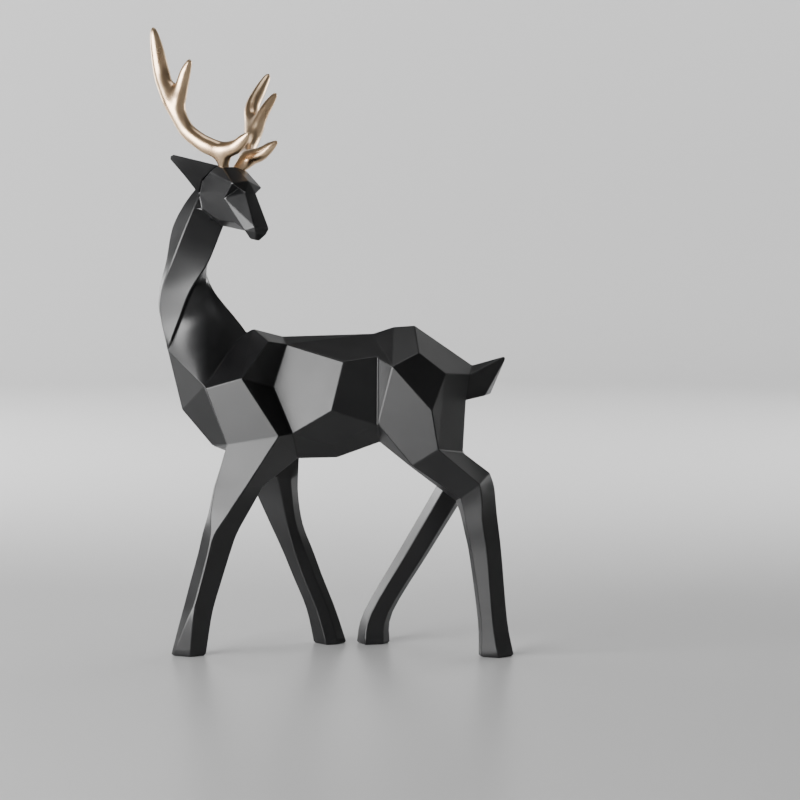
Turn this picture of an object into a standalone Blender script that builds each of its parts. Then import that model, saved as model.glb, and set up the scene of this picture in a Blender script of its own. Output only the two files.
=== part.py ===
# Faceted elk figurine: it stands on four legs and looks back over its shoulder.
# Metres, +Z up. +X runs from the breast to the tail, and the head turns toward -Y.

import math

import bmesh
import bpy
import numpy as np
from mathutils import Matrix, Vector

# Driving dimensions
figure_height = 0.385
hoof_bevel = 0.0012
antler_stem_diameter = 0.0064
antler_seat_depth = 0.0020
seat_clearance = 0.0003
antler_sides = 10

# Pose and facets are laid out in shares of the height, from the soles to the right antler's tip
height_units = 385.2
unit = figure_height / height_units
# Crumbs shorter than this are closed up where two solids meet
smallest_edge = 0.00004

near_side = -1
far_side = 1

# Torso points as (along, out, up), where out is the distance from the plane through spine and keel
spine_and_keel = {
    "nape": (-49.5, 0, 197.5),
    "withers": (-46.2, 0, 200),
    "back": (-27.5, 0, 196.4),
    "loin": (28, 0, 197.4),
    "hip": (41, 0, 201.3),
    "croup": (53.5, 0, 202.1),
    "tail_top": (90.6, 0, 179.2),
    "seat": (83, 0, 155.5),
    "crotch_rear": (75, 0, 119),
    "crotch_front": (55, 0, 119),
    "groin_mid": (32.5, 0, 131),
    "belly_keel": (1.5, 0, 120.9),
    "belly_front": (-17, 0, 120.3),
    "brisket": (-52, 0, 120.3),
    "keel_low": (-70.5, 0, 128.5),
    "keel_front": (-91.2, 0, 149.4),
    "throat_base": (-99, 0, 187),
    "tail_tip": (111.2, 0, 183.8),
    "tail_knuckle_mid": (101, 0, 160),
}
flank_points = {
    "neck_side": (-59, 15, 190),
    "breast_corner": (-74.5, 24, 166.5),
    "shoulder_rim": (-72.5, 26, 165),
    "arm_rim": (-62, 25, 129),
    "arm_front": (-60.5, 27, 131),
    "arm_inner": (-62, 16, 126.5),
    "brisket_side": (-52, 6, 121),
    "shoulder_top": (-50.5, 38, 172),
    "withers_side": (-36, 8, 193.8),
    "elbow": (-28.5, 36.8, 136.9),
    "back_edge": (-24, 10, 190.6),
    "valley": (-33.8, 26, 165.5),
    "rib_low": (-20, 26, 138.1),
    "rib_top": (10.5, 38, 182.5),
    "rib_bottom": (3.5, 41, 152.5),
    "flank_top": (31.5, 30, 184.5),
    "flank_low": (31, 29, 142.5),
    "belly_side": (2.5, 27, 129.5),
    "belly_low": (6.5, 9, 121.7),
    "belly_elbow": (-18, 13, 120.8),
    "brisket_rear": (-32, 8, 120.4),
    "groin": (32.5, 18, 132),
    "step_top": (31.9, 29.5, 184),
    "step_low": (31.6, 31, 144),
    "haunch_top": (40.5, 36, 179),
    "haunch_knee": (64, 43, 153),
    "haunch_out": (68.5, 43, 129),
    "stifle": (52, 36, 118.5),
    "stifle_inner": (50, 26, 118.5),
    "croup_side": (56.5, 25, 187),
    "rump_side": (72.5, 25, 174),
    "tail_side": (88, 9, 171.5),
    "tail_low": (84.5, 9, 157),
    "rear_low": (84, 20, 125.5),
    "tail_knuckle": (97, 5, 159.3),
}
flank_facets = [
    "back back_edge loin",
    "withers back back_edge withers_side",
    "back_edge loin haunch_top step_top flank_top rib_top",
    "loin hip haunch_top",
    "hip croup croup_side haunch_top",
    "breast_corner neck_side nape withers shoulder_top shoulder_rim",
    "withers withers_side shoulder_top",
    "shoulder_rim shoulder_top elbow arm_front",
    "breast_corner shoulder_rim arm_front arm_rim",
    "throat_base breast_corner keel_front",
    "keel_front breast_corner arm_rim keel_low",
    "keel_low arm_rim arm_inner",
    "arm_rim arm_front arm_inner",
    "keel_low arm_inner brisket_side brisket",
    "withers_side back_edge valley shoulder_top",
    "shoulder_top valley rib_low elbow",
    "back_edge rib_top rib_bottom rib_low valley",
    "rib_top flank_top flank_low rib_bottom",
    "rib_low rib_bottom flank_low belly_side",
    "rib_low belly_side belly_low belly_elbow",
    "elbow rib_low belly_elbow",
    "belly_side flank_low groin belly_low",
    "belly_elbow belly_low belly_keel belly_front",
    "belly_low groin groin_mid belly_keel",
    "brisket brisket_side brisket_rear belly_elbow belly_front",
    "flank_top step_top step_low flank_low",
    "step_top haunch_top step_low",
    "haunch_top haunch_knee haunch_out stifle step_low",
    "haunch_top croup_side rump_side haunch_knee",
    "haunch_knee rump_side haunch_out",
    "croup tail_top tail_side rump_side croup_side",
    "rump_side tail_side tail_low rear_low haunch_out",
    "flank_low step_low stifle stifle_inner groin",
    "groin stifle_inner crotch_front groin_mid",
    "tail_low rear_low crotch_rear seat",
    "tail_top tail_tip tail_side",
    "tail_side tail_tip tail_knuckle tail_low",
    "tail_knuckle tail_tip tail_knuckle_mid",
    "tail_low tail_knuckle tail_knuckle_mid seat",
]

# Each leg grows from six torso points: front, outer front, outer rear, rear, inner rear, inner front
front_leg_root = "arm_inner arm_front elbow belly_elbow brisket_rear brisket_side"
hind_leg_root = "stifle_inner stifle haunch_out rear_low crotch_rear crotch_front"

# Leg sections as (up at the front, rise to the rear, front, rear, then the shares of the outer front,
# outer rear, inner rear and inner front ridges between them, and last the distance out of the middle
# and the half width)
front_leg_forward = [
    (105, 0, -69, -38.5, 0.03, 0.66, 0.75, 0.40, 21.8, 13.2),
    (89, 0, -72.5, -47.5, 0.08, 0.52, 0.75, 0.40, 22, 10),
    (76, 0, -76.3, -54.6, 0.27, 0.38, 0.75, 0.40, 22.5, 8.5),
    (64, 0, -79.1, -58.9, 0.32, 0.37, 0.75, 0.40, 22.5, 8),
    (48, 0, -83.5, -63.9, 0.345, 0.385, 0.75, 0.40, 22.5, 7.5),
    (33, 0, -87.5, -68.5, 0.345, 0.40, 0.75, 0.40, 22.5, 7.5),
    (22, 0, -90.5, -71, 0.23, 0.46, 0.75, 0.40, 22.5, 8),
    (0, 0, -96, -74.2, 0.06, 0.57, 0.75, 0.40, 22, 6.2),
]
front_leg_back = [
    (107, 0, -50, -19, 0.25, 0.60, 0.85, 0.60, 20, 12),
    (94, 0, -45.2, -19, 0.25, 0.58, 0.85, 0.62, 22, 10),
    (76, 0, -37.3, -16.2, 0.26, 0.52, 0.80, 0.55, 23, 8.5),
    (59, 0, -29.6, -9.7, 0.28, 0.46, 0.75, 0.42, 23, 8),
    (43, 0, -23.1, -3.9, 0.28, 0.44, 0.75, 0.38, 23, 7.5),
    (22, 0, -14.6, 4.3, 0.16, 0.42, 0.75, 0.38, 23, 7.5),
    (0, 0, -10, 11, 0.08, 0.55, 0.75, 0.40, 23, 9),
]
hind_leg_back = [
    (96, 17, 78.8, 100, 0.14, 0.68, 0.82, 0.30, 21.5, 13.5),
    (88.5, 16, 81.5, 102.8, 0.11, 0.62, 0.82, 0.30, 22, 12),
    (77, 11.5, 84.2, 104.4, 0.09, 0.55, 0.80, 0.30, 22.6, 10.3),
    (61, 4, 87.4, 107.2, 0.10, 0.55, 0.80, 0.30, 23, 8.8),
    (22, 0, 92.5, 111, 0.12, 0.50, 0.80, 0.30, 23, 8),
    (0, 0, 93, 115, 0.08, 0.55, 0.80, 0.30, 23, 9),
]
hind_leg_forward = [
    (106, 0, 71, 92.5, 0.15, 0.60, 0.85, 0.22, 20, 12),
    (85, 0, 59, 80, 0.15, 0.58, 0.84, 0.24, 22, 9.5),
    (58, 0, 43.5, 63.5, 0.14, 0.56, 0.84, 0.25, 23, 8.5),
    (20, 0, 21.8, 40.5, 0.14, 0.50, 0.82, 0.25, 23, 8),
    (0, 0, 17.5, 38.5, 0.08, 0.55, 0.80, 0.25, 23, 9),
]
# How far the outer face of a leg turns toward the front, as a slope
outer_face_turn = 0.38

# Neck ridges: the torso point and side that each starts from, then its points as (along, away, up), where
# away is measured from the middle plane to the far side. The ridges wind round as the head turns.
neck_ridges = [
    ("throat_base", near_side,
     [(-95.7, -3.2, 196), (-91, -4.4, 207), (-84, -7.5, 224), (-72.8, -9.5, 241.5), (-64.3, -6.5, 262), (-58.5, -3, 276), (-56, 0, 287), (-61, -4, 293)]),
    ("breast_corner", near_side,
     [(-76.5, -6.5, 188), (-75.5, -4, 207), (-75, -2, 224), (-73.3, 0, 241.5), (-65, 1, 262), (-60, 2, 276), (-57, 2, 287), (-61, -3, 293)]),
    ("neck_side", near_side,
     [(-61.8, -4.5, 199), (-66, -2.8, 207.5), (-72.5, -0.5, 224.2), (-75, 4.2, 241.3), (-70, 7.3, 262), (-65.7, 7.3, 276), (-61.3, 4.8, 287), (-62.5, -1, 293)]),
    ("nape", near_side,
     [(-53.3, 0, 203), (-57.3, 0, 208), (-70.3, 2, 224.5), (-77, 8, 241), (-75.5, 13, 262), (-72, 12, 276), (-66, 7, 287), (-65, 1, 293)]),
    ("neck_side", far_side,
     [(-67, 15.5, 197.5), (-78, 16, 205), (-91, 14, 223), (-94, 13, 241), (-90, 12, 262), (-84, 10, 276), (-74, 6, 287), (-69, 1, 293)]),
    ("breast_corner", far_side,
     [(-90, 15, 188), (-103.2, 5, 206), (-104, 3, 224), (-99.3, -2, 242.5), (-95.6, -1.1, 262), (-88.6, -1.6, 276), (-80.5, -1.5, 287), (-75, -3.5, 293)]),
    ("throat_base", near_side,
     [(-101, 0, 196), (-103, 0.3, 207), (-102.2, -1.8, 224), (-95, -7.5, 242), (-86.8, -9, 262), (-80.8, -8, 276), (-75.5, -5.3, 287), (-71, -4, 293)]),
]
neck_steps = 3

# Head points as (forward, out, up) from a point between the eyes, one half of the head
head_points = {
    "crown_front_mid": (3.5, 0, 17.6),
    "crown_back_mid": (-6, 0, 17.6),
    "crown_front": (3.2, 9.8, 16),
    "crown_back": (-1.8, 9.8, 17),
    "forehead": (16.2, 0, 9.2),
    "brow": (15.6, 11.6, 6),
    "temple": (-7, 11.5, 13),
    "eye": (6.2, 10, -2.6),
    "socket": (12.7, 4.3, 4.2),
    "bridge_top": (19.4, 4.3, 1.5),
    "bridge_low": (31.8, 6, -19.3),
    "nose_low": (31.6, 3.9, -23),
    "chin_front": (28.8, 2, -27.1),
    "chin_back": (25.3, 2.7, -26.4),
    "mouth_corner": (24.7, 7.5, -21.8),
    "jaw_front": (14, 6, -16.7),
    "jaw_mid": (0, 5.6, -15.4),
    "jaw_corner": (-8.5, 7.2, -13),
    "jaw_back": (-18.3, 8.5, -8.2),
    "cheek_back": (-20.5, 8.3, -1),
    "ear_root": (-17, 9.5, 8),
    "under_front": (19, 0, -21.8),
    "under_back": (-6, 0, -18.7),
    "gullet": (-16, 0, -12),
    "poll": (-19, 0, 5),
}
head_facets = [
    "crown_front_mid crown_front crown_back crown_back_mid",
    "crown_front_mid crown_front brow forehead",
    "forehead brow bridge_top",
    "crown_front crown_back temple brow",
    "brow bridge_top socket",
    "bridge_top eye socket",
    "eye brow socket",
    "bridge_top bridge_low eye",
    "eye bridge_low mouth_corner",
    "temple brow eye mouth_corner jaw_front jaw_mid jaw_corner jaw_back cheek_back ear_root",
    "bridge_low nose_low mouth_corner",
    "nose_low chin_front chin_back mouth_corner",
    "chin_back mouth_corner under_front",
    "mouth_corner jaw_front under_front",
    "jaw_front jaw_mid under_back under_front",
    "jaw_mid jaw_corner jaw_back gullet under_back",
    "jaw_back cheek_back poll gullet",
    "cheek_back ear_root poll",
    "ear_root temple crown_back crown_back_mid poll",
]
head_bridges = [
    "forehead bridge_top bridge_top",
    "bridge_top bridge_low",
    "bridge_low nose_low",
    "nose_low chin_front",
    "chin_front chin_back",
    "under_front chin_back",
]
head_place = (-59, -14.5, 282)
head_turn = 45
head_tilt = 6.5

# Ears are tapered and start inside the head, in the head's own frame
ear_points = {
    "tip_top": (-25.3, 28.6, 21.2),
    "tip_low": (-25.3, 28.6, 19.4),
    "tip_brim": (-23.7, 27.5, 22.3),
    "mid_top": (-14.9, 18.6, 20.4),
    "mid_ridge": (-17.7, 20.4, 14.8),
    "mid_low": (-20.2, 19.8, 9.6),
    "mid_back": (-21.5, 16.5, 16),
    "front_top": (-4.4, 6.4, 18),
    "front_mid": (-14.5, 10.6, 9.2),
    "low": (-18.7, 9.2, 0.2),
    "back": (-16, 3, 10),
}
ear_facets = [
    "tip_top tip_brim mid_ridge",
    "tip_brim mid_top mid_ridge",
    "tip_top mid_ridge tip_low",
    "tip_low mid_ridge mid_low",
    "mid_top front_top front_mid mid_ridge",
    "mid_ridge front_mid low mid_low",
    "tip_low mid_low mid_back",
    "tip_top tip_low mid_back",
    "tip_top mid_back tip_brim",
    "tip_brim mid_back mid_top",
    "mid_low low back mid_back",
    "mid_back back front_top mid_top",
    "front_top back low front_mid",
]

# Antler branches as (forward, out, up, radius) from the foot of the stem
antler_foot = {near_side: (-0.2, 6.3, 17.1), far_side: (-1, 5.5, 17)}
antler_tilt = {near_side: 15, far_side: 16}
antler_arch = [
    (24, 6, 19.05, 1.2),
    (12.8, 4.7, 10.85, 4.0),
    (1.6, 5.3, 8.65, 5.1),
    (-4.3, 9.7, 9.75, 5.3),
    (-10.7, 14.1, 12.55, 5.2),
    (-18, 19.7, 18.15, 4.9),
    (-23, 25.9, 27.85, 5.2),
    (-30, 29.3, 38.35, 5.4),
    (-36.6, 31.9, 50.25, 5.1),
    (-38.7, 36.9, 62.85, 4.3),
    (-39.8, 41.2, 72.65, 2.7),
    (-40.3, 42.7, 76.45, 1.2),
]
antler_fork = [
    (-18.5, 20.5, 19.15, 3.2),
    (-20.8, 23.3, 23.15, 4),
    (-22, 26, 28.65, 4.3),
    (-21.8, 27, 34.65, 4.5),
    (-21.3, 27.3, 39.65, 4.5),
    (-19.8, 28.2, 46.65, 4.1),
    (-17.4, 29.3, 52.65, 3.2),
    (-15.4, 29.9, 56.85, 1.9),
    (-14.8, 30.2, 58.85, 1.1),
]
antler_web = [
    (-21, 24, 25.65, 4),
    (-24, 26.6, 32.65, 4),
    (-26.4, 27.4, 39.4, 3.4),
    (-27.5, 27.8, 44.2, 2.2),
]
antler_neck = [
    (0.6, 1.8, 3.3, 4.2),
    (1.4, 4.2, 6.3, 4.8),
    (1.6, 5.3, 10, 4.2),
]
antler_steps = 3


def clear_scene():
    for item in list(bpy.data.objects):
        bpy.data.objects.remove(item)


def plain_material(name, colour, roughness, metallic):
    material = bpy.data.materials.new(name)
    material.use_nodes = True
    shader = material.node_tree.nodes["Principled BSDF"]
    shader.inputs["Base Color"].default_value = (*colour, 1)
    shader.inputs["Roughness"].default_value = roughness
    shader.inputs["Metallic"].default_value = metallic
    return material


def make_object(name, points, facets, material):
    # The points are in units and the object is in metres
    mesh = bpy.data.meshes.new(name)
    mesh.from_pydata([Vector(point) * unit for point in points], [], facets)
    form = bmesh.new()
    form.from_mesh(mesh)
    bmesh.ops.triangulate(form, faces=form.faces)
    bmesh.ops.recalc_face_normals(form, faces=form.faces)
    form.to_mesh(mesh)
    form.free()
    mesh.materials.append(material)
    made = bpy.data.objects.new(name, mesh)
    bpy.context.scene.collection.objects.link(made)
    return made


class FacetedForm:
    # Named points on both sides of a middle plane, and the facets between them

    def __init__(self):
        self.points = []
        self.number = {}
        self.facets = []

    def add(self, name, side, point):
        key = (name, side if point[1] else 0)
        if key not in self.number:
            self.number[key] = len(self.points)
            self.points.append((point[0], side * point[1], point[2]))
        return self.number[key]

    def find(self, name, side):
        return self.number.get((name, side), self.number.get((name, 0)))

    def mirror_points(self, table):
        for side in (near_side, far_side):
            for name, point in table.items():
                self.add(name, side, point)

    def mirror_facets(self, rows):
        for side in (near_side, far_side):
            for row in rows:
                self.facets.append([self.find(name, side) for name in row.split()])

    def loop(self, row, side):
        return [self.find(name, side) for name in row.split()]

    def bridge_sides(self, rows):
        # Facets that run across the middle, from one side's point to the other's
        for row in rows:
            names = row.split()
            across = [self.find(name, near_side) for name in names]
            across += [self.find(name, far_side) for name in reversed(names)]
            self.facets.append(list(dict.fromkeys(across)))

    def add_ring(self, ring):
        first = len(self.points)
        self.points.extend(ring)
        return list(range(first, first + len(ring)))

    def bridge(self, lower, upper):
        # Corners that fall together on one side give a triangle there
        count = len(lower)
        for index in range(count):
            following = (index + 1) % count
            corners = [lower[index], lower[following], upper[following], upper[index]]
            self.facets.append(list(dict.fromkeys(corners)))

    def loft(self, lower, rings):
        for ring in rings:
            upper = self.add_ring(ring)
            self.bridge(lower, upper)
            lower = upper
        self.facets.append(lower)


def flatten(points, facets, on_middle, freedom=(0.06, 1, 0.06), rounds=600, pull=0.01):
    # Moves the points until every facet is a plane, mostly out or in, which keeps the side view
    start = np.array(points, dtype=float)
    moved = start.copy()
    for _ in range(rounds):
        total = np.zeros_like(moved)
        count = np.zeros(len(moved))
        for facet in facets:
            corners = moved[facet]
            centre = corners.mean(axis=0)
            normal = np.linalg.svd(corners - centre)[2][2]
            lift = (corners - centre) @ normal
            total[facet] += corners - np.outer(lift, normal)
            count[facet] += 1
        used = count > 0
        moved[used] += (total[used] / count[used, None] - moved[used]) * np.array(freedom)
        moved += (start - moved) * pull
        moved[on_middle, 1] = 0
    return [tuple(point) for point in moved]


def leg_ring(row, side, shrink=0):
    up, rise, front, rear, outer_front, outer_rear, inner_rear, inner_front, out, half = row
    slope = rise / (rear - front)
    front += shrink
    rear -= shrink
    half -= shrink
    length = rear - front
    turn = outer_face_turn * length * (outer_rear - outer_front)
    corners = [
        (front, out),
        (front + length * outer_front, out + half - turn),
        (front + length * outer_rear, out + half),
        (rear, out),
        (front + length * inner_rear, out - half * 0.7),
        (front + length * inner_front, out - half),
    ]
    return [(along, side * away, up + slope * (along - front)) for along, away in corners]


def leg_rings(rows, side):
    bevel = hoof_bevel / unit
    rings = [leg_ring(row, side) for row in rows[:-1]]
    sole = rows[-1]
    rings.append(leg_ring((bevel,) + sole[1:], side))
    rings.append(leg_ring(sole, side, bevel))
    return rings


def through(rows, steps):
    # A smooth curve through rows of numbers, with the given steps between two of them
    rows = [np.array(row, dtype=float) for row in rows]
    curve = []
    last = len(rows) - 1
    for index in range(last):
        before, start, end, after = (
            rows[min(max(index + shift, 0), last)] for shift in (-1, 0, 1, 2)
        )
        for step in range(steps):
            t = step / steps
            curve.append(
                start
                + (end - before) * (t / 2)
                + (before * 2 - start * 5 + end * 4 - after) * (t * t / 2)
                + (start * 3 - before - end * 3 + after) * (t * t * t / 2)
            )
    return [tuple(row) for row in curve + [rows[-1]]]


def add_neck(form):
    lower = [form.find(name, side) for name, side, _ in neck_ridges]
    columns = [
        through([form.points[root]] + points, neck_steps)
        for root, (_, _, points) in zip(lower, neck_ridges)
    ]
    form.loft(lower, [list(ring) for ring in zip(*columns)][1:])


def head_matrix():
    turn = Matrix.Rotation(math.radians(-head_turn), 4, "Z")
    tilt = Matrix.Rotation(math.radians(-head_tilt), 4, "X")
    return Matrix.Translation(head_place) @ turn @ tilt


def build_head(material):
    form = FacetedForm()
    form.mirror_points(head_points)
    form.mirror_facets(head_facets)
    form.bridge_sides(head_bridges)
    on_middle = [number for (name, side), number in form.number.items() if side == 0]
    form.points = flatten(form.points, form.facets, on_middle, pull=0.02)
    place = head_matrix()
    points = [place @ Vector(point) for point in form.points]
    return make_object("head", points, form.facets, material)


def build_ear(side, material):
    form = FacetedForm()
    for name, point in ear_points.items():
        form.add(name, side, point)
    form.facets = [form.loop(row, side) for row in ear_facets]
    place = head_matrix()
    return make_object("ear", [place @ Vector(point) for point in form.points], form.facets, material)


def antler_matrix(side):
    forward, out, up = antler_foot[side]
    foot = head_matrix() @ Vector((forward, side * out, up))
    turn = Matrix.Rotation(math.radians(-head_turn), 4, "Z")
    tilt = Matrix.Rotation(math.radians(-antler_tilt[side]), 4, "X")
    return Matrix.Translation(foot) @ turn @ tilt


def build_branch(rows, side, sides, material, rounded_end=True):
    # A tube through the rows, with one point over the last ring when the end is rounded
    place = antler_matrix(side)
    form = FacetedForm()
    centres = [place @ Vector((row[0], side * row[1], row[2])) for row in rows]
    radii = [row[3] for row in rows]
    across = (centres[1] - centres[0]).orthogonal().normalized()
    lower = None
    for index, (centre, radius) in enumerate(zip(centres, radii)):
        before = centres[max(index - 1, 0)]
        after = centres[min(index + 1, len(centres) - 1)]
        along = (after - before).normalized()
        across = (across - along * across.dot(along)).normalized()
        beside = along.cross(across)
        ring = []
        for corner in range(sides):
            angle = 2 * math.pi * corner / sides
            ring.append(centre + (across * math.cos(angle) + beside * math.sin(angle)) * radius)
        upper = form.add_ring(ring)
        if lower:
            form.bridge(lower, upper)
        else:
            form.facets.append(upper)
        lower = upper
    if rounded_end:
        tip = form.add_ring([centres[-1] + along * radii[-1] * 0.6])[0]
        for corner in range(sides):
            form.facets.append([lower[corner], lower[(corner + 1) % sides], tip])
    else:
        form.facets.append(lower)
    return make_object("branch", form.points, form.facets, material)


def stem_rows(bottom, radius):
    return [(0, 0, -bottom, radius), (0, 0, 1.5, radius)]


def build_antler(name, side, material):
    radius = antler_stem_diameter / unit / 2
    bottom = (antler_seat_depth - seat_clearance) / unit
    arch = build_branch(through(antler_arch, antler_steps), side, antler_sides, material)
    fork = build_branch(through(antler_fork, antler_steps), side, antler_sides, material)
    stem = build_branch(stem_rows(bottom, radius) + antler_neck, side, antler_sides, material, False)
    web = build_branch(antler_web, side, antler_sides, material)
    combine(arch, [fork, web, stem], "UNION")
    arch.name = name
    arch.data.polygons.foreach_set("use_smooth", [True] * len(arch.data.polygons))
    return arch


def build_seat(side, material):
    radius = (antler_stem_diameter / 2 + seat_clearance) / unit
    rows = stem_rows(antler_seat_depth / unit, radius)
    rows[-1] = (0, 0, 6, radius)
    return build_branch(rows, side, antler_sides, material, False)


def combine(target, others, operation):
    # Applies an exact Boolean with each of the other solids and removes them
    for other in others:
        step = target.modifiers.new(operation, "BOOLEAN")
        step.operation = operation
        step.solver = "EXACT"
        step.object = other
        view = bpy.context.evaluated_depsgraph_get()
        mesh = bpy.data.meshes.new_from_object(target.evaluated_get(view))
        target.modifiers.clear()
        target.data = mesh
        bpy.data.objects.remove(other)
    form = bmesh.new()
    form.from_mesh(target.data)
    bmesh.ops.dissolve_degenerate(form, edges=form.edges, dist=smallest_edge)
    bmesh.ops.triangulate(form, faces=form.faces)
    form.to_mesh(target.data)
    form.free()


def build_body(material):
    form = FacetedForm()
    form.mirror_points(spine_and_keel)
    form.mirror_points(flank_points)
    form.mirror_facets(flank_facets)
    on_middle = [number for (name, side), number in form.number.items() if side == 0]
    form.points = flatten(form.points, form.facets, on_middle)
    form.loft(form.loop(front_leg_root, near_side), leg_rings(front_leg_forward, near_side))
    form.loft(form.loop(front_leg_root, far_side), leg_rings(front_leg_back, far_side))
    form.loft(form.loop(hind_leg_root, near_side), leg_rings(hind_leg_back, near_side))
    form.loft(form.loop(hind_leg_root, far_side), leg_rings(hind_leg_forward, far_side))
    add_neck(form)
    return make_object("elk_body", form.points, form.facets, material)


def settle(items):
    # Puts the soles on the floor plane and the middle of the figure's box over the origin
    corners = np.array([item.matrix_world @ vertex.co for item in items for vertex in item.data.vertices])
    low = corners.min(axis=0)
    high = corners.max(axis=0)
    shift = Matrix.Translation((-(low[0] + high[0]) / 2, -(low[1] + high[1]) / 2, -low[2]))
    for item in items:
        item.data.transform(shift)


def main():
    clear_scene()
    black = plain_material("satin_black_resin", (0.018, 0.018, 0.019), 0.42, 0)
    gold = plain_material("champagne_gold", (0.72, 0.55, 0.36), 0.28, 1)
    body = build_body(black)
    head = build_head(black)
    ears = [build_ear(side, black) for side in (near_side, far_side)]
    combine(body, [head] + ears, "UNION")
    seats = [build_seat(side, black) for side in (near_side, far_side)]
    combine(body, seats, "DIFFERENCE")
    antlers = [
        build_antler("antler_right", near_side, gold),
        build_antler("antler_left", far_side, gold),
    ]
    settle([body] + antlers)


main()
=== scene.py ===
# Faceted elk figurine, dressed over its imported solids. It stands on a plain pale studio floor.
import math

import bmesh
import bpy
import numpy as np
from mathutils import Matrix, Vector


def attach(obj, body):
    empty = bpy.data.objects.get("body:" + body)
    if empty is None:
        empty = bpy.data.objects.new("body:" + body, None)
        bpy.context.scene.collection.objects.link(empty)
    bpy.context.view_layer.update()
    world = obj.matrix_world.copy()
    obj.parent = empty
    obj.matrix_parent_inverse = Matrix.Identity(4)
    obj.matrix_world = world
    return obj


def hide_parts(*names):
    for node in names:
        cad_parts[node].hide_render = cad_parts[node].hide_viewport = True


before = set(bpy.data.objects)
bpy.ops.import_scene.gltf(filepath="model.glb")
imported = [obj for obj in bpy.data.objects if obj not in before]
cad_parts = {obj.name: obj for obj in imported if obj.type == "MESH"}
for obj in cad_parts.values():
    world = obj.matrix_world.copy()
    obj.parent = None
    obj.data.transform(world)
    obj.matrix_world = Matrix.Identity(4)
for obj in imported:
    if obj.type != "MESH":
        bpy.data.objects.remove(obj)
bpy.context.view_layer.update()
scene = bpy.context.scene

# The pose is laid out in units of the figure's height, then moved over the solids
figure = {
    "height": 0.385,  # metres from the soles to the tip of the right antler
    "heightUnits": 385.2,
    "shift": (-3.57, -11.07, 0.01),  # in units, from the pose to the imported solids
}
unit = figure["height"] / figure["heightUnits"]
nearSide = -1
farSide = 1

# Torso points as (along, out, up), where out is the distance from the plane through spine and keel
spineAndKeel = {
    "nape": (-49.5, 0, 197.5),
    "withers": (-46.2, 0, 200),
    "back": (-27.5, 0, 196.4),
    "loin": (28, 0, 197.4),
    "hip": (41, 0, 201.3),
    "croup": (53.5, 0, 202.1),
    "tailTop": (90.6, 0, 179.2),
    "seat": (83, 0, 155.5),
    "crotchRear": (75, 0, 119),
    "crotchFront": (55, 0, 119),
    "groinMid": (32.5, 0, 131),
    "bellyKeel": (1.5, 0, 120.9),
    "bellyFront": (-17, 0, 120.3),
    "brisket": (-52, 0, 120.3),
    "keelLow": (-70.5, 0, 128.5),
    "keelFront": (-91.2, 0, 149.4),
    "throatBase": (-99, 0, 187),
    "tailTip": (111.2, 0, 183.8),
    "tailKnuckleMid": (101, 0, 160),
}
flankPoints = {
    "neckSide": (-59, 15, 190),
    "breastCorner": (-74.5, 24, 166.5),
    "shoulderRim": (-72.5, 26, 165),
    "armRim": (-62, 25, 129),
    "armFront": (-60.5, 27, 131),
    "armInner": (-62, 16, 126.5),
    "brisketSide": (-52, 6, 121),
    "shoulderTop": (-50.5, 38, 172),
    "withersSide": (-36, 8, 193.8),
    "elbow": (-28.5, 36.8, 136.9),
    "backEdge": (-24, 10, 190.6),
    "valley": (-33.8, 26, 165.5),
    "ribLow": (-20, 26, 138.1),
    "ribTop": (10.5, 38, 182.5),
    "ribBottom": (3.5, 41, 152.5),
    "flankTop": (31.5, 30, 184.5),
    "flankLow": (31, 29, 142.5),
    "bellySide": (2.5, 27, 129.5),
    "bellyLow": (6.5, 9, 121.7),
    "bellyElbow": (-18, 13, 120.8),
    "brisketRear": (-32, 8, 120.4),
    "groin": (32.5, 18, 132),
    "stepTop": (31.9, 29.5, 184),
    "stepLow": (31.6, 31, 144),
    "haunchTop": (40.5, 36, 179),
    "haunchKnee": (64, 43, 153),
    "haunchOut": (68.5, 43, 129),
    "stifle": (52, 36, 118.5),
    "stifleInner": (50, 26, 118.5),
    "croupSide": (56.5, 25, 187),
    "rumpSide": (72.5, 25, 174),
    "tailSide": (88, 9, 171.5),
    "tailLow": (84.5, 9, 157),
    "rearLow": (84, 20, 125.5),
    "tailKnuckle": (97, 5, 159.3),
}
flankFacets = [
    "back backEdge loin",
    "withers back backEdge withersSide",
    "backEdge loin haunchTop stepTop flankTop ribTop",
    "loin hip haunchTop",
    "hip croup croupSide haunchTop",
    "breastCorner neckSide nape withers shoulderTop shoulderRim",
    "withers withersSide shoulderTop",
    "shoulderRim shoulderTop elbow armFront",
    "breastCorner shoulderRim armFront armRim",
    "throatBase breastCorner keelFront",
    "keelFront breastCorner armRim keelLow",
    "keelLow armRim armInner",
    "armRim armFront armInner",
    "keelLow armInner brisketSide brisket",
    "withersSide backEdge valley shoulderTop",
    "shoulderTop valley ribLow elbow",
    "backEdge ribTop ribBottom ribLow valley",
    "ribTop flankTop flankLow ribBottom",
    "ribLow ribBottom flankLow bellySide",
    "ribLow bellySide bellyLow bellyElbow",
    "elbow ribLow bellyElbow",
    "bellySide flankLow groin bellyLow",
    "bellyElbow bellyLow bellyKeel bellyFront",
    "bellyLow groin groinMid bellyKeel",
    "brisket brisketSide brisketRear bellyElbow bellyFront",
    "flankTop stepTop stepLow flankLow",
    "stepTop haunchTop stepLow",
    "haunchTop haunchKnee haunchOut stifle stepLow",
    "haunchTop croupSide rumpSide haunchKnee",
    "haunchKnee rumpSide haunchOut",
    "croup tailTop tailSide rumpSide croupSide",
    "rumpSide tailSide tailLow rearLow haunchOut",
    "flankLow stepLow stifle stifleInner groin",
    "groin stifleInner crotchFront groinMid",
    "tailLow rearLow crotchRear seat",
    "tailTop tailTip tailSide",
    "tailSide tailTip tailKnuckle tailLow",
    "tailKnuckle tailTip tailKnuckleMid",
    "tailLow tailKnuckle tailKnuckleMid seat",
]

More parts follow.
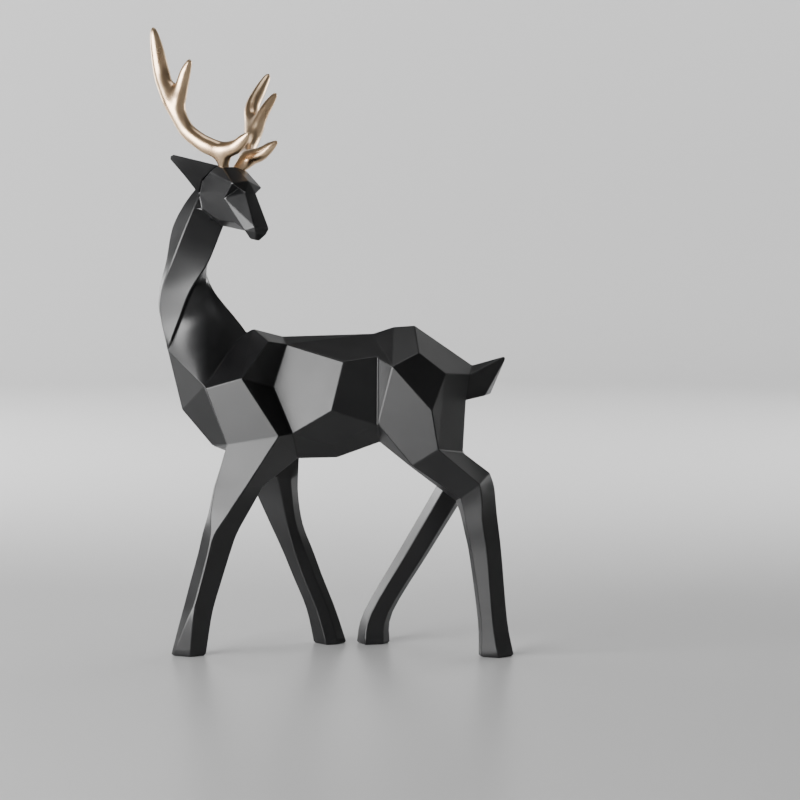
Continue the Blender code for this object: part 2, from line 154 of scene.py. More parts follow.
# Each leg grows from six torso points: front, outer front, outer rear, rear, inner rear, inner front
frontLegRoot = "armInner armFront elbow bellyElbow brisketRear brisketSide"
hindLegRoot = "stifleInner stifle haunchOut rearLow crotchRear crotchFront"

# Leg sections as (up at the front, rise to the rear, front, rear, then the shares of the outer front,
# outer rear, inner rear and inner front ridges between them, and last the distance out of the middle
# and the half width)
frontLegForward = [
    (105, 0, -69, -38.5, 0.03, 0.66, 0.75, 0.40, 21.8, 13.2),
    (89, 0, -72.5, -47.5, 0.08, 0.52, 0.75, 0.40, 22, 10),
    (76, 0, -76.3, -54.6, 0.27, 0.38, 0.75, 0.40, 22.5, 8.5),
    (64, 0, -79.1, -58.9, 0.32, 0.37, 0.75, 0.40, 22.5, 8),
    (48, 0, -83.5, -63.9, 0.345, 0.385, 0.75, 0.40, 22.5, 7.5),
    (33, 0, -87.5, -68.5, 0.345, 0.40, 0.75, 0.40, 22.5, 7.5),
    (22, 0, -90.5, -71, 0.23, 0.46, 0.75, 0.40, 22.5, 8),
    (0, 0, -96, -74.2, 0.06, 0.57, 0.75, 0.40, 22, 6.2),
]
frontLegBack = [
    (107, 0, -50, -19, 0.25, 0.60, 0.85, 0.60, 20, 12),
    (94, 0, -45.2, -19, 0.25, 0.58, 0.85, 0.62, 22, 10),
    (76, 0, -37.3, -16.2, 0.26, 0.52, 0.80, 0.55, 23, 8.5),
    (59, 0, -29.6, -9.7, 0.28, 0.46, 0.75, 0.42, 23, 8),
    (43, 0, -23.1, -3.9, 0.28, 0.44, 0.75, 0.38, 23, 7.5),
    (22, 0, -14.6, 4.3, 0.16, 0.42, 0.75, 0.38, 23, 7.5),
    (0, 0, -10, 11, 0.08, 0.55, 0.75, 0.40, 23, 9),
]
hindLegBack = [
    (96, 17, 78.8, 100, 0.14, 0.68, 0.82, 0.30, 21.5, 13.5),
    (88.5, 16, 81.5, 102.8, 0.11, 0.62, 0.82, 0.30, 22, 12),
    (77, 11.5, 84.2, 104.4, 0.09, 0.55, 0.80, 0.30, 22.6, 10.3),
    (61, 4, 87.4, 107.2, 0.10, 0.55, 0.80, 0.30, 23, 8.8),
    (22, 0, 92.5, 111, 0.12, 0.50, 0.80, 0.30, 23, 8),
    (0, 0, 93, 115, 0.08, 0.55, 0.80, 0.30, 23, 9),
]
hindLegForward = [
    (106, 0, 71, 92.5, 0.15, 0.60, 0.85, 0.22, 20, 12),
    (85, 0, 59, 80, 0.15, 0.58, 0.84, 0.24, 22, 9.5),
    (58, 0, 43.5, 63.5, 0.14, 0.56, 0.84, 0.25, 23, 8.5),
    (20, 0, 21.8, 40.5, 0.14, 0.50, 0.82, 0.25, 23, 8),
    (0, 0, 17.5, 38.5, 0.08, 0.55, 0.80, 0.25, 23, 9),
]
legs = [
    # root, side, sections, and whether a crease runs along the first section
    (frontLegRoot, nearSide, frontLegForward, False),
    (frontLegRoot, farSide, frontLegBack, False),
    (hindLegRoot, nearSide, hindLegBack, True),
    (hindLegRoot, farSide, hindLegForward, False),
]

# Neck ridges: the torso point and side that each starts from, the strip that follows it, then its
# points as (along, away, up), where away is measured from the middle plane to the far side. The
# ridges wind round as the head turns, and neighbours in one strip run into each other without a crease.
neckStrips = ("nearFace", "crest", "farFace", "farFront", "lightBand", "undercut")
neckRidges = [
    ("throatBase", nearSide, "undercut", [
        (-97, -2.6, 192), (-91, -4.4, 207), (-84, -7.5, 224), (-72.8, -9.5, 241.5),
        (-64.3, -6.5, 262), (-58.5, -3, 276), (-56, 0, 287), (-61, -4, 293),
    ]),
    ("throatBase", nearSide, "nearFace", [
        (-95.6, -1.1, 192.4), (-89.4, -2.8, 207.5), (-82.4, -5.8, 224), (-72.4, -8, 241.5),
        (-64.2, -5.4, 262), (-58.6, -2.2, 276), (-56.1, 0.5, 287), (-61, -3.6, 293),
    ]),
    ("breastCorner", nearSide, "nearFace", [
        (-76.2, -19.5, 178), (-75.5, -4, 207), (-75, -2, 224), (-73.3, 0, 241.5),
        (-65, 1, 262), (-60, 2, 276), (-57, 2, 287), (-61, -3, 293),
    ]),
    ("neckSide", nearSide, "nearFace", [
        (-61.8, -4.5, 199), (-66, -2.8, 207.5), (-72.5, -0.5, 224.2), (-75, 4.2, 241.3),
        (-70, 7.3, 262), (-65.7, 7.3, 276), (-61.3, 4.8, 287), (-62.5, -1, 293),
    ]),
    ("nape", nearSide, "crest", [
        (-53.3, 0, 203), (-57.3, 0, 208), (-70.3, 2, 224.5), (-77, 8, 241),
        (-75.5, 13, 262), (-72, 12, 276), (-66, 7, 287), (-65, 1, 293),
    ]),
    ("neckSide", farSide, "farFace", [
        (-67, 15.5, 197.5), (-78, 16, 205), (-91, 14, 223), (-94, 13, 241),
        (-90, 12, 262), (-84, 10, 276), (-74, 6, 287), (-69, 1, 293),
    ]),
    ("breastCorner", farSide, "farFront", [
        (-90, 15, 188), (-103.2, 5, 206), (-104, 3, 224), (-99.3, -2, 242.5),
        (-95.6, -1.1, 262), (-88.6, -1.6, 276), (-80.5, -1.5, 287), (-75, -3.5, 293),
    ]),
    ("throatBase", nearSide, "lightBand", [
        (-101, 0, 196), (-103, 0.3, 207), (-102.2, -1.8, 224), (-95, -7.5, 242),
        (-86.8, -9, 262), (-80.8, -8, 276), (-75.5, -5.3, 287), (-71, -4, 293),
    ]),
]

# Head points as (forward, out, up) from a point between the eyes, one half of the head
headPoints = {
    "crownFrontMid": (3.5, 0, 17.6),
    "crownBackMid": (-6, 0, 17.6),
    "crownFront": (3.2, 9.8, 16),
    "crownBack": (-1.8, 9.8, 17),
    "forehead": (16.2, 0, 9.2),
    "brow": (15.6, 11.6, 6),
    "temple": (-7, 11.5, 13),
    "eye": (6.2, 10, -2.6),
    "socket": (12.7, 4.3, 4.2),
    "bridgeTop": (19.4, 4.3, 1.5),
    "bridgeLow": (31.8, 6, -19.3),
    "noseLow": (31.6, 3.9, -23),
    "chinFront": (28.8, 2, -27.1),
    "chinBack": (25.3, 2.7, -26.4),
    "mouthCorner": (24.7, 7.5, -21.8),
    "jawFront": (14, 6, -16.7),
    "jawMid": (0, 5.6, -15.4),
    "jawCorner": (-8.5, 7.2, -13),
    "jawBack": (-18.3, 8.5, -8.2),
    "cheekBack": (-20.5, 8.3, -1),
    "earRoot": (-17, 9.5, 8),
    "underFront": (19, 0, -21.8),
    "underBack": (-6, 0, -18.7),
    "gullet": (-16, 0, -12),
    "poll": (-19, 0, 5),
}
headFacets = [
    "crownFrontMid crownFront crownBack crownBackMid",
    "crownFrontMid crownFront brow forehead",
    "forehead brow bridgeTop",
    "crownFront crownBack temple brow",
    "brow bridgeTop socket",
    "bridgeTop eye socket",
    "eye brow socket",
    "bridgeTop bridgeLow eye",
    "eye bridgeLow mouthCorner",
    "temple brow eye mouthCorner jawFront jawMid jawCorner jawBack cheekBack earRoot",
    "bridgeLow noseLow mouthCorner",
    "noseLow chinFront chinBack mouthCorner",
    "chinBack mouthCorner underFront",
    "mouthCorner jawFront underFront",
    "jawFront jawMid underBack underFront",
    "jawMid jawCorner jawBack gullet underBack",
    "jawBack cheekBack poll gullet",
    "cheekBack earRoot poll",
    "earRoot temple crownBack crownBackMid poll",
]
headBridges = [
    "forehead bridgeTop bridgeTop",
    "bridgeTop bridgeLow",
    "bridgeLow noseLow",
    "noseLow chinFront",
    "chinFront chinBack",
    "underFront chinBack",
]
headPose = {
    "place": (-59, -14.5, 282),
    "turn": 45,  # degrees to the near side
    "tilt": 6.5,  # degrees
}

# Ears are tapered and start inside the head, in the head's own frame. Within the front, the back and
# the root of an ear, the facets run into each other without a crease.
earStrips = ("front", "back", "root")
earPoints = {
    "tipTop": (-25.3, 28.6, 21.2),
    "tipLow": (-25.3, 28.6, 19.4),
    "tipBrim": (-23.7, 27.5, 22.3),
    "midTop": (-14.9, 18.6, 20.4),
    "midRidge": (-17.7, 20.4, 14.8),
    "midLow": (-20.2, 19.8, 9.6),
    "midBack": (-21.5, 16.5, 16),
    "frontTop": (-4.4, 6.4, 18),
    "frontMid": (-14.5, 10.6, 9.2),
    "low": (-18.7, 9.2, 0.2),
    "back": (-16, 3, 10),
}
earFacets = [
    ("front", "tipTop tipBrim midRidge"),
    ("front", "tipBrim midTop midRidge"),
    ("front", "tipTop midRidge tipLow"),
    ("front", "tipLow midRidge midLow"),
    ("front", "midTop frontTop frontMid midRidge"),
    ("front", "midRidge frontMid low midLow"),
    ("back", "tipLow midLow midBack"),
    ("back", "tipTop tipLow midBack"),
    ("back", "tipTop midBack tipBrim"),
    ("back", "tipBrim midBack midTop"),
    ("back", "midLow low back midBack"),
    ("back", "midBack back frontTop midTop"),
    ("root", "frontTop back low frontMid"),
]

bodyShape = {
    "neckSteps": 8,  # rings between two rows of the neck table
    "neckAcross": 4,  # points from one neck ridge to the next
    "legSteps": 4,  # rings between two leg sections
    "outerFaceTurn": 0.38,  # how far a leg's outer face turns to the front
    "innerRearHalf": 0.7,  # share of the half width at a leg's inner rear ridge
    "hoofBevel": 1.2,  # in units
    "sameFacet": 20,  # degrees: how far the pieces of one facet may turn and still be one face
    "softCrease": 1.2,  # degrees: creases between facets under this stay unrounded
    "mergeWithin": 0.00004,  # metres: points closer than this become one
    "shortestEdge": 0.0005,  # metres: crumbs at the joins aren't rounded
    "edgeRound": 0.0006,  # metres
    "roundSegments": 3,
    "flatness": 80,  # how strongly the large facets hold the shading normals
}
firstNumbers = {"body": 0, "skull": 1000, "nearEar": 1400, "farEar": 1600}  # of the facets in a form


class FacetedForm:
    # Named points on both sides of a middle plane, and the facets between them. Every facet has a
    # number, which its pieces keep when the forms are joined. Curved strips share theirs.

    def __init__(self, firstNumber):
        self.points = []
        self.number = {}
        self.facets = []
        self.facetNumbers = []
        self.nextNumber = firstNumber

    def add(self, name, side, point):
        key = (name, side if point[1] else 0)
        if key not in self.number:
            self.number[key] = len(self.points)
            self.points.append((point[0], side * point[1], point[2]))
        return self.number[key]

    def find(self, name, side):
        return self.number.get((name, side), self.number.get((name, 0)))

    def facet(self, corners, strip=None):
        corners = list(dict.fromkeys(corners))
        if len(corners) > 2:
            self.facets.append(corners)
            self.facetNumbers.append(self.nextNumber if strip is None else strip)
            self.nextNumber += strip is None

    def mirror(self, table, rows):
        for side in (nearSide, farSide):
            for name, point in table.items():
                self.add(name, side, point)
        for side in (nearSide, farSide):
            for row in rows:
                self.facet(self.loop(row, side))

    def loop(self, row, side):
        return [self.find(name, side) for name in row.split()]

    def bridgeSides(self, rows):
        for row in rows:
            self.facet(self.loop(row, nearSide) + self.loop(row, farSide)[::-1])

    def addRing(self, ring):
        first = len(self.points)
        self.points.extend(ring)
        return list(range(first, first + len(ring)))

    def bridge(self, lower, upper, strips):
        for i, strip in enumerate(strips):
            j = (i + 1) % len(strips)
            self.facet([lower[i], lower[j], upper[j], upper[i]], strip)

    def loft(self, lower, rings, creased=False):
        # The sides are curved strips, and a crease can part them from the facets over the first ring
        for index, ring in enumerate(rings):
            if index == 0 or (index == 1 and creased):
                strips = range(self.nextNumber, self.nextNumber + len(lower))
                self.nextNumber += len(lower)
            upper = self.addRing(ring)
            self.bridge(lower, upper, strips)
            lower = upper
        self.facet(lower)


def flatten(form, rounds=600, pull=0.01):
    # Moves the points, mostly out or in, until every facet is a plane
    freedom = np.array((0.06, 1, 0.06))
    middle = [number for (name, side), number in form.number.items() if side == 0]
    start = np.array(form.points, dtype=float)
    moved = start.copy()
    for _ in range(rounds):
        total = np.zeros_like(moved)
        count = np.zeros(len(moved))
        for facet in form.facets:
            corners = moved[facet]
            centre = corners.mean(axis=0)
            normal = np.linalg.svd(corners - centre)[2][2]
            total[facet] += corners - np.outer((corners - centre) @ normal, normal)
            count[facet] += 1
        used = count > 0
        moved[used] += (total[used] / count[used, None] - moved[used]) * freedom
        moved += (start - moved) * pull
        moved[middle, 1] = 0
    form.points = [tuple(point) for point in moved]


def through(rows, steps):
    # A smooth curve through rows of numbers, in so many steps from each row to the next
    rows = [np.array(row, dtype=float) for row in rows]
    last = len(rows) - 1
    curve = []
    for i in range(last):
        a, b, c, d = (rows[min(max(i + k, 0), last)] for k in (-1, 0, 1, 2))
        for step in range(steps):
            u = step / steps
            curve.append(b + (c - a) * (u / 2) + (a * 2 - b * 5 + c * 4 - d) * (u * u / 2)
                         + (b * 3 - a - c * 3 + d) * (u ** 3 / 2))
    return [tuple(row) for row in curve + [rows[-1]]]


def legRing(row, side, shrink=0):
    up, rise, front, rear, outerFront, outerRear, innerRear, innerFront, out, half = row
    slope = rise / (rear - front)
    front, rear, half = front + shrink, rear - shrink, half - shrink
    length = rear - front
    turn = bodyShape["outerFaceTurn"] * length * (outerRear - outerFront)
    corners = [
        (front, out),
        (front + length * outerFront, out + half - turn),
        (front + length * outerRear, out + half),
        (rear, out),
        (front + length * innerRear, out - half * bodyShape["innerRearHalf"]),
        (front + length * innerFront, out - half),
    ]
    return [(along, side * away, up + slope * (along - front)) for along, away in corners]


def legRings(rows, side):
    bevel = bodyShape["hoofBevel"]
    sole = rows[-1]
    rows = through(rows[:-1] + [(bevel,) + sole[1:]], bodyShape["legSteps"])
    return [legRing(row, side) for row in rows] + [legRing(sole, side, bevel)]


def addNeck(form):
    roots = [form.find(name, side) for name, side, _, _ in neckRidges]
    columns = [
        through([form.points[root]] + points, bodyShape["neckSteps"])
        for root, (_, _, _, points) in zip(roots, neckRidges)
    ]
    strips = [form.nextNumber + neckStrips.index(strip) for _, _, strip, _ in neckRidges]
    form.nextNumber += len(strips)
    # Every ring has finer points than the roots, which its first facets fan out to
    across = bodyShape["neckAcross"]
    fineStrips = [strip for strip in strips for _ in range(across)]
    lower = None
    for ring in list(zip(*columns))[1:]:
        fineRing = []
        for start, end in zip(ring, ring[1:] + ring[:1]):
            fineRing += [tuple(Vector(start).lerp(Vector(end), step / across)) for step in range(across)]
        upper = form.addRing(fineRing)
        if lower:
            form.bridge(lower, upper, fineStrips)
        else:
            for index, strip in enumerate(strips):
                top = [upper[(index * across + step) % len(upper)] for step in range(across + 1)]
                form.facet([roots[index], roots[(index + 1) % len(roots)]] + top[::-1], strip)
        lower = upper
    form.facet(lower)


def headMatrix():
    turn = Matrix.Rotation(math.radians(-headPose["turn"]), 4, "Z")
    tilt = Matrix.Rotation(math.radians(-headPose["tilt"]), 4, "X")
    return Matrix.Translation(headPose["place"]) @ turn @ tilt


def makeObject(name, form, place=Matrix()):
    # Pose units in, metres out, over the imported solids
    shift = Vector(figure["shift"])
    mesh = bpy.data.meshes.new(name)
    points = [(place @ Vector(point) + shift) * unit for point in form.points]
    mesh.from_pydata(points, [], form.facets)
    numbers = mesh.attributes.new("facetNumber", "INT", "FACE")
    numbers.data.foreach_set("value", form.facetNumbers)
    work = bmesh.new()
    work.from_mesh(mesh)
    bmesh.ops.triangulate(work, faces=work.faces)
    bmesh.ops.recalc_face_normals(work, faces=work.faces)
    work.to_mesh(mesh)
    work.free()
    made = bpy.data.objects.new(name, mesh)
    scene.collection.objects.link(made)
    return made


def applyModifiers(made):
    view = bpy.context.evaluated_depsgraph_get()
    mesh = bpy.data.meshes.new_from_object(made.evaluated_get(view))
    made.modifiers.clear()
    made.data = mesh


def unite(target, others):
    for other in others:
        step = target.modifiers.new("join", "BOOLEAN")
        step.operation = "UNION"
        step.solver = "EXACT"
        step.object = other
        applyModifiers(target)
        bpy.data.objects.remove(other)


def roundEdges(made):
    # The pieces of each facet become one face, and the creases between facets get a small round
    work = bmesh.new()
    work.from_mesh(made.data)
    number = work.faces.layers.int["facetNumber"]
    bmesh.ops.dissolve_degenerate(work, edges=work.edges, dist=bodyShape["mergeWithin"])
    inside = [edge for edge in work.edges if len({face[number] for face in edge.link_faces}) == 1]
    flat = [edge for edge in inside if edge.link_faces[0][number] not in curvedStrips]
    bmesh.ops.dissolve_limit(
        work, angle_limit=math.radians(bodyShape["sameFacet"]), verts=[], edges=flat, delimit=set()
    )
    weight = work.edges.layers.float.new("bevel_weight_edge")
    for edge in work.edges:
        crease = len({face[number] for face in edge.link_faces}) > 1
        turned = math.degrees(edge.calc_face_angle(0)) > bodyShape["softCrease"]
        if crease and turned and edge.calc_length() > bodyShape["shortestEdge"]:
            edge[weight] = 1
    print("facets", len({face[number] for face in work.faces}), "faces", len(work.faces))
    for face in work.faces:
        face.smooth = True
    work.to_mesh(made.data)
    work.free()
    bevel = made.modifiers.new("roundedEdges", "BEVEL")
    bevel.limit_method = "WEIGHT"
    bevel.width = bodyShape["edgeRound"]
    bevel.segments = bodyShape["roundSegments"]
    bevel.use_clamp_overlap = False
    bevel.harden_normals = True
    even = made.modifiers.new("flatFacets", "WEIGHTED_NORMAL")
    even.keep_sharp = True
    even.weight = bodyShape["flatness"]


curvedStrips = set()  # numbers of the strips that bend, whose pieces aren't made one plane


def buildEar(side):
    ear = FacetedForm(firstNumbers["nearEar" if side == nearSide else "farEar"])
    for name, point in earPoints.items():
        ear.add(name, side, point)
    for strip, row in earFacets:
        number = ear.nextNumber + earStrips.index(strip)
        ear.facet(ear.loop(row, side), number)
        curvedStrips.add(number)
    return makeObject("ear", ear, headMatrix())


def buildBody():
    form = FacetedForm(firstNumbers["body"])
    form.mirror(spineAndKeel | flankPoints, flankFacets)
    flatten(form)
    firstStrip = form.nextNumber
    for root, side, rows, creased in legs:
        form.loft(form.loop(root, side), legRings(rows, side), creased)
    addNeck(form)
    curvedStrips.update(range(firstStrip, form.nextNumber))
    body = makeObject("facetedElk", form)
    skull = FacetedForm(firstNumbers["skull"])
    skull.mirror(headPoints, headFacets)
    skull.bridgeSides(headBridges)
    flatten(skull, pull=0.02)
    unite(body, [makeObject("skull", skull, headMatrix()), buildEar(nearSide), buildEar(farSide)])
    roundEdges(body)
    return body


# Antler branches: rows of (forward, out, up, half width, flatness) from the foot of the stem
antlerArch = [
    (24.2, 6, 19.05, 1.2, 1),
    (19.5, 5.2, 15.35, 3.3, 0.95),
    (12.8, 4.7, 10.85, 4.5, 0.95),
    (1.6, 5.3, 8.65, 5.8, 0.95),
    (-4.3, 9.7, 9.75, 5.6, 0.95),
    (-10.7, 14.1, 12.55, 5.1, 0.95),
    (-18, 19.7, 18.15, 5.0, 0.95),
    (-23, 25.9, 27.85, 5.6, 0.95),
    (-30, 29.3, 38.35, 5.5, 0.93),
    (-36.6, 31.9, 50.25, 5.1, 0.92),
    (-38.7, 36.9, 62.85, 4.3, 0.92),
    (-39.8, 41.2, 72.65, 2.7, 0.95),
    (-40.3, 42.7, 76.25, 1.2, 1),
]
antlerFork = [
    (-18, 19.7, 18.15, 3.8, 0.95),
    (-20.5, 22.8, 22.65, 4.5, 0.95),
    (-22, 26, 28.65, 4.9, 0.95),
    (-21.9, 27, 34.65, 4.9, 0.95),
    (-21.3, 27.3, 39.65, 4.7, 0.92),
    (-19.8, 28.2, 46.65, 4.1, 0.92),
    (-17.4, 29.3, 52.65, 3.2, 0.92),
    (-15.4, 29.9, 56.85, 2.1, 0.95),
    (-14.8, 30.2, 58.65, 1.3, 1),
]
antlerWeb = [
    (-21, 24, 25.65, 4.8, 0.95),
    (-24, 26.4, 32.65, 4.6, 0.95),
    (-26.4, 27.2, 39.4, 3.6, 0.95),
    (-27.5, 27.6, 44, 2.4, 0.95),
    (-27.8, 27.7, 46, 1.3, 1),
]
antlerNeck = [
    (0, 0, -4.2, 3.15, 1),
    (0, 0, 0.4, 3.3, 1),
    (0.3, 0.9, 1.8, 3.9, 1),
    (0.8, 2.3, 3.6, 4.9, 1),
    (1.3, 3.9, 6.2, 5.1, 1),
    (1.6, 5.3, 8.65, 4.4, 1),
]
antlerShape = {
    "foot": {nearSide: (-0.2, 6.3, 17.1), farSide: (-1, 5.5, 17)},  # in the head's own frame
    "tilt": {nearSide: 15, farSide: 16},  # degrees
    "thin": (0.7, 0.7, 0),  # the direction in which the branches are flattened
    "tipReach": 0.6,  # how far a rounded tip reaches, in half widths
    "sides": 28,
    "steps": 6,  # rings between two rows of a branch
    "voxel": 0.00042,  # metres
    "joints": [(1.6, 5, 7.65), (-21.5, 24.5, 25.65), (-27, 28, 42)],  # where the branches meet
    "smoothing": 160,
    "awayFromJoints": 0.1,  # share of the smoothing that the tines get
    "jointReach": (6, 13),  # units: full smoothing nearer, and only that share farther
}


def antlerMatrix(side):
    forward, out, up = antlerShape["foot"][side]
    foot = headMatrix() @ Vector((forward, side * out, up))
    turn = Matrix.Rotation(math.radians(-headPose["turn"]), 4, "Z")
    tilt = Matrix.Rotation(math.radians(-antlerShape["tilt"][side]), 4, "X")
    return Matrix.Translation(foot) @ turn @ tilt


def addBranch(form, rows, side):
    rows = through(rows, antlerShape["steps"])
    centres = [Vector((row[0], side * row[1], row[2])) for row in rows]
    forward, out, up = antlerShape["thin"]
    thin = Vector((forward, side * out, up))
    lower = None
    for index, centre in enumerate(centres):
        along = centres[min(index + 1, len(centres) - 1)] - centres[max(index - 1, 0)]
        along.normalize()
        across = (thin - along * thin.dot(along)).normalized()
        beside = along.cross(across)
        radius, flatness = rows[index][3:]
        ring = []
        for corner in range(antlerShape["sides"]):
            angle = 2 * math.pi * corner / antlerShape["sides"]
            spoke = across * math.cos(angle) * flatness + beside * math.sin(angle)
            ring.append(centre + spoke * radius)
        upper = form.addRing(ring)
        if lower:
            form.bridge(lower, upper, [0] * len(ring))
        else:
            form.facet(upper)
        lower = upper
    tip = form.addRing([centres[-1] + along * radius * antlerShape["tipReach"]])[0]
    for corner, point in enumerate(lower):
        form.facet([point, lower[(corner + 1) % len(lower)], tip])


def smoothJoints(mesh, side):
    # Each point moves towards the middle of its neighbours, farthest where branches meet
    points = np.empty(len(mesh.vertices) * 3)
    mesh.vertices.foreach_get("co", points)
    points = points.reshape(-1, 3)
    ends = np.empty(len(mesh.edges) * 2, dtype=int)
    mesh.edges.foreach_get("vertices", ends)
    near, far = ends.reshape(-1, 2).T
    count = np.bincount(near, minlength=len(points)) + np.bincount(far, minlength=len(points))
    full, none = antlerShape["jointReach"]
    share = np.full(len(points), antlerShape["awayFromJoints"])
    for forward, out, up in antlerShape["joints"]:
        joint = (antlerMatrix(side) @ Vector((forward, side * out, up)) + Vector(figure["shift"])) * unit
        away = np.linalg.norm(points - np.array(joint), axis=1) / unit
        share = np.maximum(share, np.clip((none - away) / (none - full), 0, 1))
    for _ in range(antlerShape["smoothing"]):
        total = np.empty_like(points)
        for axis in range(3):
            total[:, axis] = np.bincount(near, points[far, axis], len(points))
            total[:, axis] += np.bincount(far, points[near, axis], len(points))
        points += (total / count[:, None] - points) * (share[:, None] / 2)
    mesh.vertices.foreach_set("co", points.ravel())
    mesh.update()


def buildAntler(name, side):
    # The branches melt into one casting
    form = FacetedForm(0)
    for rows in (antlerArch, antlerFork, antlerWeb, antlerNeck):
        addBranch(form, rows, side)
    made = makeObject(name, form, antlerMatrix(side))
    melt = made.modifiers.new("melt", "REMESH")
    melt.mode = "VOXEL"
    melt.voxel_size = antlerShape["voxel"]
    melt.use_smooth_shade = True
    applyModifiers(made)
    smoothJoints(made.data, side)
    return made


def newGroup(name, inputs, outputs):
    group = bpy.data.node_groups.new(name, "ShaderNodeTree")
    for title, kind, value in inputs:
        socket = group.interface.new_socket(name=title, in_out="INPUT", socket_type=kind)
        socket.default_value = value
    for title, kind in outputs:
        group.interface.new_socket(name=title, in_out="OUTPUT", socket_type=kind)
    return group, group.nodes.new("NodeGroupInput"), group.nodes.new("NodeGroupOutput")


def buildCastGrain():
    # Fine paint grain over slow waves, as a height, with a soft cloud for tone and gloss
    group, given, put = newGroup(
        "castGrain",
        [
            ("Grain Scale", "NodeSocketFloat", 1400.0),
            ("Wave Scale", "NodeSocketFloat", 60.0),
            ("Cloud Scale", "NodeSocketFloat", 35.0),
            ("Wave Share", "NodeSocketFloat", 0.6),
        ],
        [("Height", "NodeSocketFloat"), ("Cloud", "NodeSocketFloat")],
    )
    place = group.nodes.new("ShaderNodeTexCoord")
    links = group.links

    def noise(scale, detail, roughness):
        node = group.nodes.new("ShaderNodeTexNoise")
        node.inputs["Detail"].default_value = detail
        node.inputs["Roughness"].default_value = roughness
        links.new(place.outputs["Object"], node.inputs["Vector"])
        links.new(given.outputs[scale], node.inputs["Scale"])
        return node.outputs["Fac"]

    grain = noise("Grain Scale", detail=2, roughness=0.5)
    wave = noise("Wave Scale", detail=2, roughness=0.4)
    cloud = noise("Cloud Scale", detail=5, roughness=0.6)
    mix = group.nodes.new("ShaderNodeMix")
    links.new(given.outputs["Wave Share"], mix.inputs["Factor"])
    links.new(grain, mix.inputs["A"])
    links.new(wave, mix.inputs["B"])
    links.new(mix.outputs["Result"], put.inputs["Height"])
    links.new(cloud, put.inputs["Cloud"])
    return group


noiseSpan = (0.3, 0.7)  # nearly all of a noise lies between these


def mapRange(nodes, links, source, low, high):
    node = nodes.new("ShaderNodeMapRange")
    node.inputs["From Min"].default_value = noiseSpan[0]
    node.inputs["From Max"].default_value = noiseSpan[1]
    node.inputs["To Min"].default_value = low
    node.inputs["To Max"].default_value = high
    links.new(source, node.inputs["Value"])
    return node.outputs["Result"]


def castMaterial(name, look, grainGroup):
    made = bpy.data.materials.new(name)
    made.use_nodes = True
    nodes, links = made.node_tree.nodes, made.node_tree.links
    shader = nodes["Principled BSDF"]
    shader.inputs["Metallic"].default_value = look["metallic"]
    shader.inputs["Specular IOR Level"].default_value = look["specular"]
    grain = nodes.new("ShaderNodeGroup")
    grain.node_tree = grainGroup
    for title, value in look["grain"].items():
        grain.inputs[title].default_value = value
    tone = nodes.new("ShaderNodeMix")
    tone.data_type = "RGBA"
    tone.inputs["A"].default_value = (*look["dark"], 1)
    tone.inputs["B"].default_value = (*look["light"], 1)
    cloud = grain.outputs["Cloud"]
    links.new(mapRange(nodes, links, cloud, 0, 1), tone.inputs["Factor"])
    links.new(tone.outputs["Result"], shader.inputs["Base Color"])
    links.new(mapRange(nodes, links, cloud, *look["roughness"]), shader.inputs["Roughness"])
    bump = nodes.new("ShaderNodeBump")
    bump.inputs["Strength"].default_value = look["bump"]
    bump.inputs["Distance"].default_value = look["bumpDepth"]
    links.new(grain.outputs["Height"], bump.inputs["Height"])
    links.new(bump.outputs["Normal"], shader.inputs["Normal"])
    return made


satinBlackLook = {
    "dark": (0.0045, 0.0045, 0.005),
    "light": (0.008, 0.008, 0.0085),
    "roughness": (0.30, 0.37),
    "metallic": 0,
    "specular": 0.5,
    "bump": 0.25,
    "bumpDepth": 0.0003,
    "grain": {"Grain Scale": 1500, "Wave Scale": 55, "Cloud Scale": 40, "Wave Share": 0.75},
}
champagneGoldLook = {
    "dark": (0.68, 0.46, 0.28),
    "light": (0.81, 0.61, 0.40),
    "roughness": (0.26, 0.33),
    "metallic": 1,
    "specular": 0.5,
    "bump": 0.2,
    "bumpDepth": 0.0002,
    "grain": {"Grain Scale": 1800, "Wave Scale": 90, "Cloud Scale": 60, "Wave Share": 0.6},
}

studio = {
    "floorColour": (0.55, 0.55, 0.55),
    "floorRoughness": 0.35,
    "floorRadius": 2.4,  # metres, like the lengths below
    "coveRadius": 1.0,
    "wallHeight": 1.0,
    "coveSteps": 12,
    "sides": 96,
    "cameraPlace": (0.0413, -1.529, 0.272),
    "cameraDown": 4.37,  # degrees
    "sensorWidth": 36,  # millimetres
    "lensPerSensor": 3.0738,  # focal length over sensor width
    "skyStrength": 0.10,
}
softboxes = [
    # name, place, target, width, height, watts
    ("keySoftbox", (-1.26, -0.95, 0.45), (0, 0, 0.22), 1.5, 0.87, 59),
    ("backSoftbox", (1.15, 1.5, 1.7), (0.05, 0, 0.2), 0.7, 0.7, 1.8),
    ("topSoftbox", (0.0, 0.2, 1.9), (0, 0.2, 0), 1.0, 0.8, 5),
    ("fillSoftboxLeft", (-1.6, 1.5, 0.5), (0, 0, 0.2), 0.9, 0.6, 14),
    ("fillSoftboxRight", (1.5, 1.5, 0.5), (0, 0, 0.2), 0.9, 0.6, 14),
    ("wallLightLeft", (-1.2, 0.7, 1.2), (-1.0, 3.2, 0.4), 1.0, 1.0, 85),
    ("wallLightRight", (1.2, 0.7, 1.2), (0.4, 3.2, 0.4), 1.0, 1.0, 45),
]


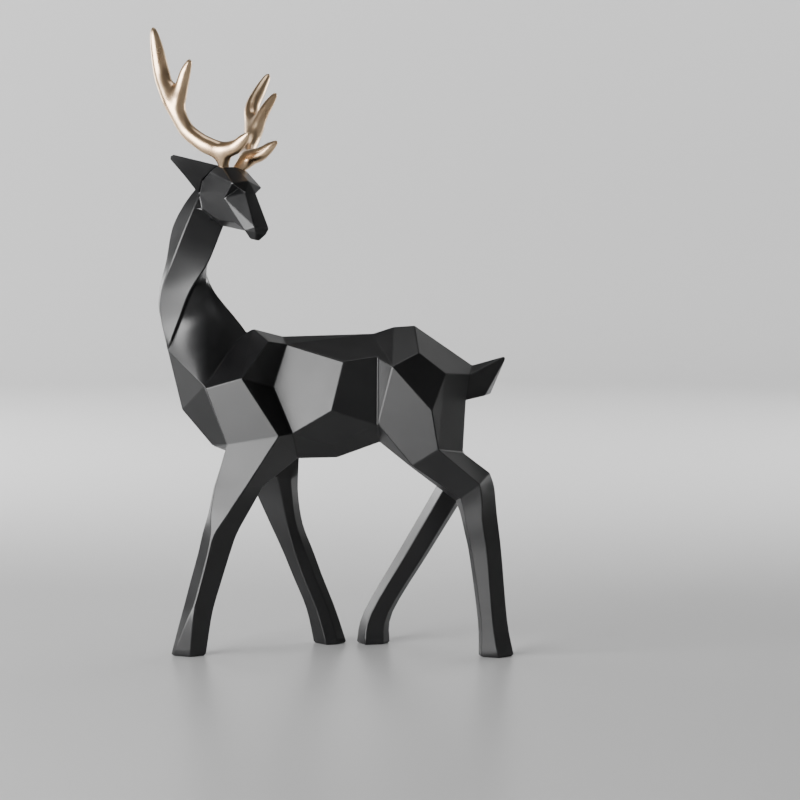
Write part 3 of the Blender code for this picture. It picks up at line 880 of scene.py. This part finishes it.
def buildStudio():
    # A round sweep: flat floor, curved foot and plain wall all round, open at the top
    outline = [(0.0, 0.0), (studio["floorRadius"] * 0.5, 0.0), (studio["floorRadius"], 0.0)]
    for step in range(1, studio["coveSteps"] + 1):
        angle = math.radians(90 * step / studio["coveSteps"])
        outline.append((
            studio["floorRadius"] + studio["coveRadius"] * math.sin(angle),
            studio["coveRadius"] * (1 - math.cos(angle)),
        ))
    outline.append((outline[-1][0], studio["coveRadius"] + studio["wallHeight"]))
    sides = studio["sides"]
    points = [(0, 0, 0)]
    faces = []
    for away, up in outline[1:]:
        for side in range(sides):
            angle = 2 * math.pi * side / sides
            points.append((away * math.cos(angle), away * math.sin(angle), up))
    for side in range(sides):
        after = (side + 1) % sides
        faces.append((0, 1 + side, 1 + after))
        for ring in range(len(outline) - 2):
            low = 1 + ring * sides
            faces.append((low + side, low + sides + side, low + sides + after, low + after))
    mesh = bpy.data.meshes.new("studioSweep")
    mesh.from_pydata(points, [], faces)
    mesh.polygons.foreach_set("use_smooth", [True] * len(mesh.polygons))
    sweep = bpy.data.objects.new("studioSweep", mesh)
    scene.collection.objects.link(sweep)
    paper = bpy.data.materials.new("paleSweep")
    paper.use_nodes = True
    shader = paper.node_tree.nodes["Principled BSDF"]
    shader.inputs["Base Color"].default_value = (*studio["floorColour"], 1)
    shader.inputs["Roughness"].default_value = studio["floorRoughness"]
    mesh.materials.append(paper)


def buildLights():
    for name, place, target, width, height, watts in softboxes:
        light = bpy.data.lights.new(name, "AREA")
        light.shape = "RECTANGLE"
        light.size = width
        light.size_y = height
        light.energy = watts
        box = bpy.data.objects.new(name, light)
        box.location = place
        box.visible_camera = False
        box.rotation_euler = (Vector(target) - Vector(place)).to_track_quat("-Z", "Y").to_euler()
        scene.collection.objects.link(box)
    sky = bpy.data.worlds.new("softSky")
    sky.use_nodes = True
    sky.node_tree.nodes["Background"].inputs["Color"].default_value = (1, 1, 1, 1)
    sky.node_tree.nodes["Background"].inputs["Strength"].default_value = studio["skyStrength"]
    scene.world = sky


def buildCamera():
    data = bpy.data.cameras.new("photoCamera")
    data.sensor_width = studio["sensorWidth"]
    data.lens = studio["sensorWidth"] * studio["lensPerSensor"]
    camera = bpy.data.objects.new("photoCamera", data)
    camera.location = studio["cameraPlace"]
    camera.rotation_euler = (math.radians(90 - studio["cameraDown"]), 0, 0)
    scene.collection.objects.link(camera)
    scene.camera = camera


def paint(made, material):
    made.data.materials.clear()
    made.data.materials.append(material)


print("studio")
buildStudio()
buildLights()
buildCamera()
grainGroup = buildCastGrain()
satinBlack = castMaterial("satinBlackResin", satinBlackLook, grainGroup)
champagneGold = castMaterial("champagneGold", champagneGoldLook, grainGroup)

print("faceted body")
body = buildBody()
paint(body, satinBlack)
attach(body, "root")
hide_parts("elk_body")

print("antlers")
antlers = (("antler_right", "rightAntler", nearSide), ("antler_left", "leftAntler", farSide))
for node, name, side in antlers:
    antler = buildAntler(name, side)
    paint(antler, champagneGold)
    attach(antler, "root")
    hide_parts(node)
